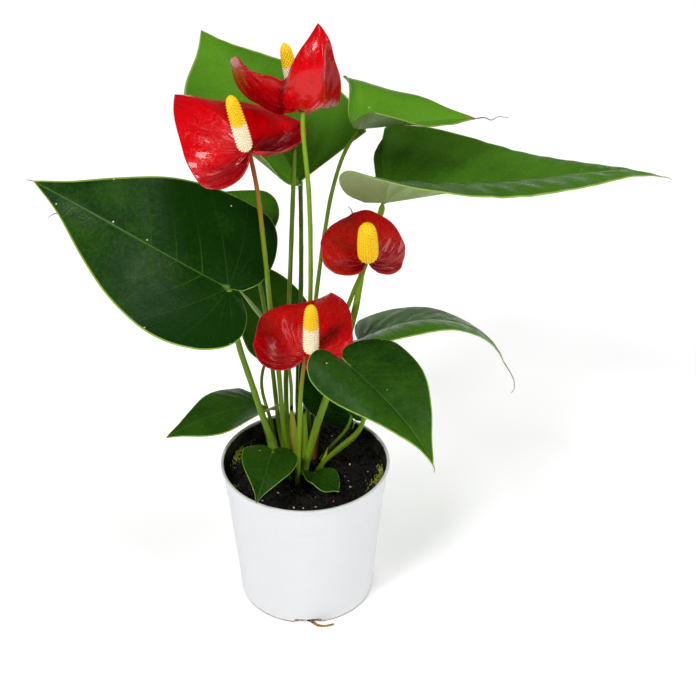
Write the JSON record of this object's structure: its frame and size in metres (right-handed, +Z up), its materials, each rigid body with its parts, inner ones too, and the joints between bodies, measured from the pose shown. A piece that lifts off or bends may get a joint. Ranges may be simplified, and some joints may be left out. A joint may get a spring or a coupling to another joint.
{
  "type": "potted flowering plant",
  "caption": "Potted anthurium: heart-shaped glossy leaves and red waxy flowers with upright spikes on slender stalks, growing from dark peat in a plain thin-walled white nursery pot.",
  "frame": {"origin": "middle of the pot's base, on the ground", "axes": "+Z up; -Y towards the front, where the small front flower and the drain notch with the root are; +X to the right seen from the front"},
  "size_m": [0.3752, 0.2586, 0.3836],
  "materials": {
    "pot": "satin, thin moulded white polypropylene",
    "soil": "rough moist peat",
    "leaf": "waxy dark green leaf",
    "stalk": "smooth fresh green stalk",
    "spathe": "glossy waxy red",
    "spadix": "finely bumped yellow and cream",
    "sheath": "soft yellow-green sheath",
    "dry": "dry brown fibre"
  },
  "bodies": {
    "root": {"pot": "pot", "soil": "soil", "leaf_left_large": "leaf", "petiole_left_large": "stalk", "leaf_left_behind": "leaf", "petiole_left_behind": "stalk", "leaf_back_low": "leaf", "petiole_back_low": "stalk", "leaf_top_back": "leaf", "petiole_top_back": "stalk", "leaf_top_right": "leaf", "petiole_top_right": "stalk", "leaf_right_large": "leaf", "petiole_right_large": "stalk", "leaf_right_drooping": "leaf", "petiole_right_drooping": "stalk", "leaf_front_right": "leaf", "petiole_front_right": "stalk", "leaf_low_left": "leaf", "petiole_low_left": "stalk", "leaf_front_small": "leaf", "petiole_front_small": "stalk", "leaf_seedling": "leaf", "petiole_seedling": "stalk", "leaf_centre_low": "leaf", "petiole_centre_low": "stalk", "spathe_left": "spathe", "spadix_left": "spadix", "peduncle_left": "stalk", "spathe_top": "spathe", "spadix_top": "spadix", "peduncle_top": "stalk", "spathe_right": "spathe", "spadix_right": "spadix", "peduncle_right": "stalk", "spathe_front": "spathe", "spadix_front": "spadix", "peduncle_front": "stalk", "bud_stalk": "stalk", "closed_bud": "spathe", "young_leaf_stalk": "stalk", "young_leaf": "sheath", "shoot": "sheath", "drain_root": "dry", "cataphyll_yellow": "sheath", "cataphyll_green": "sheath", "cataphyll_dry": "dry"}
  },
  "joints": []
}
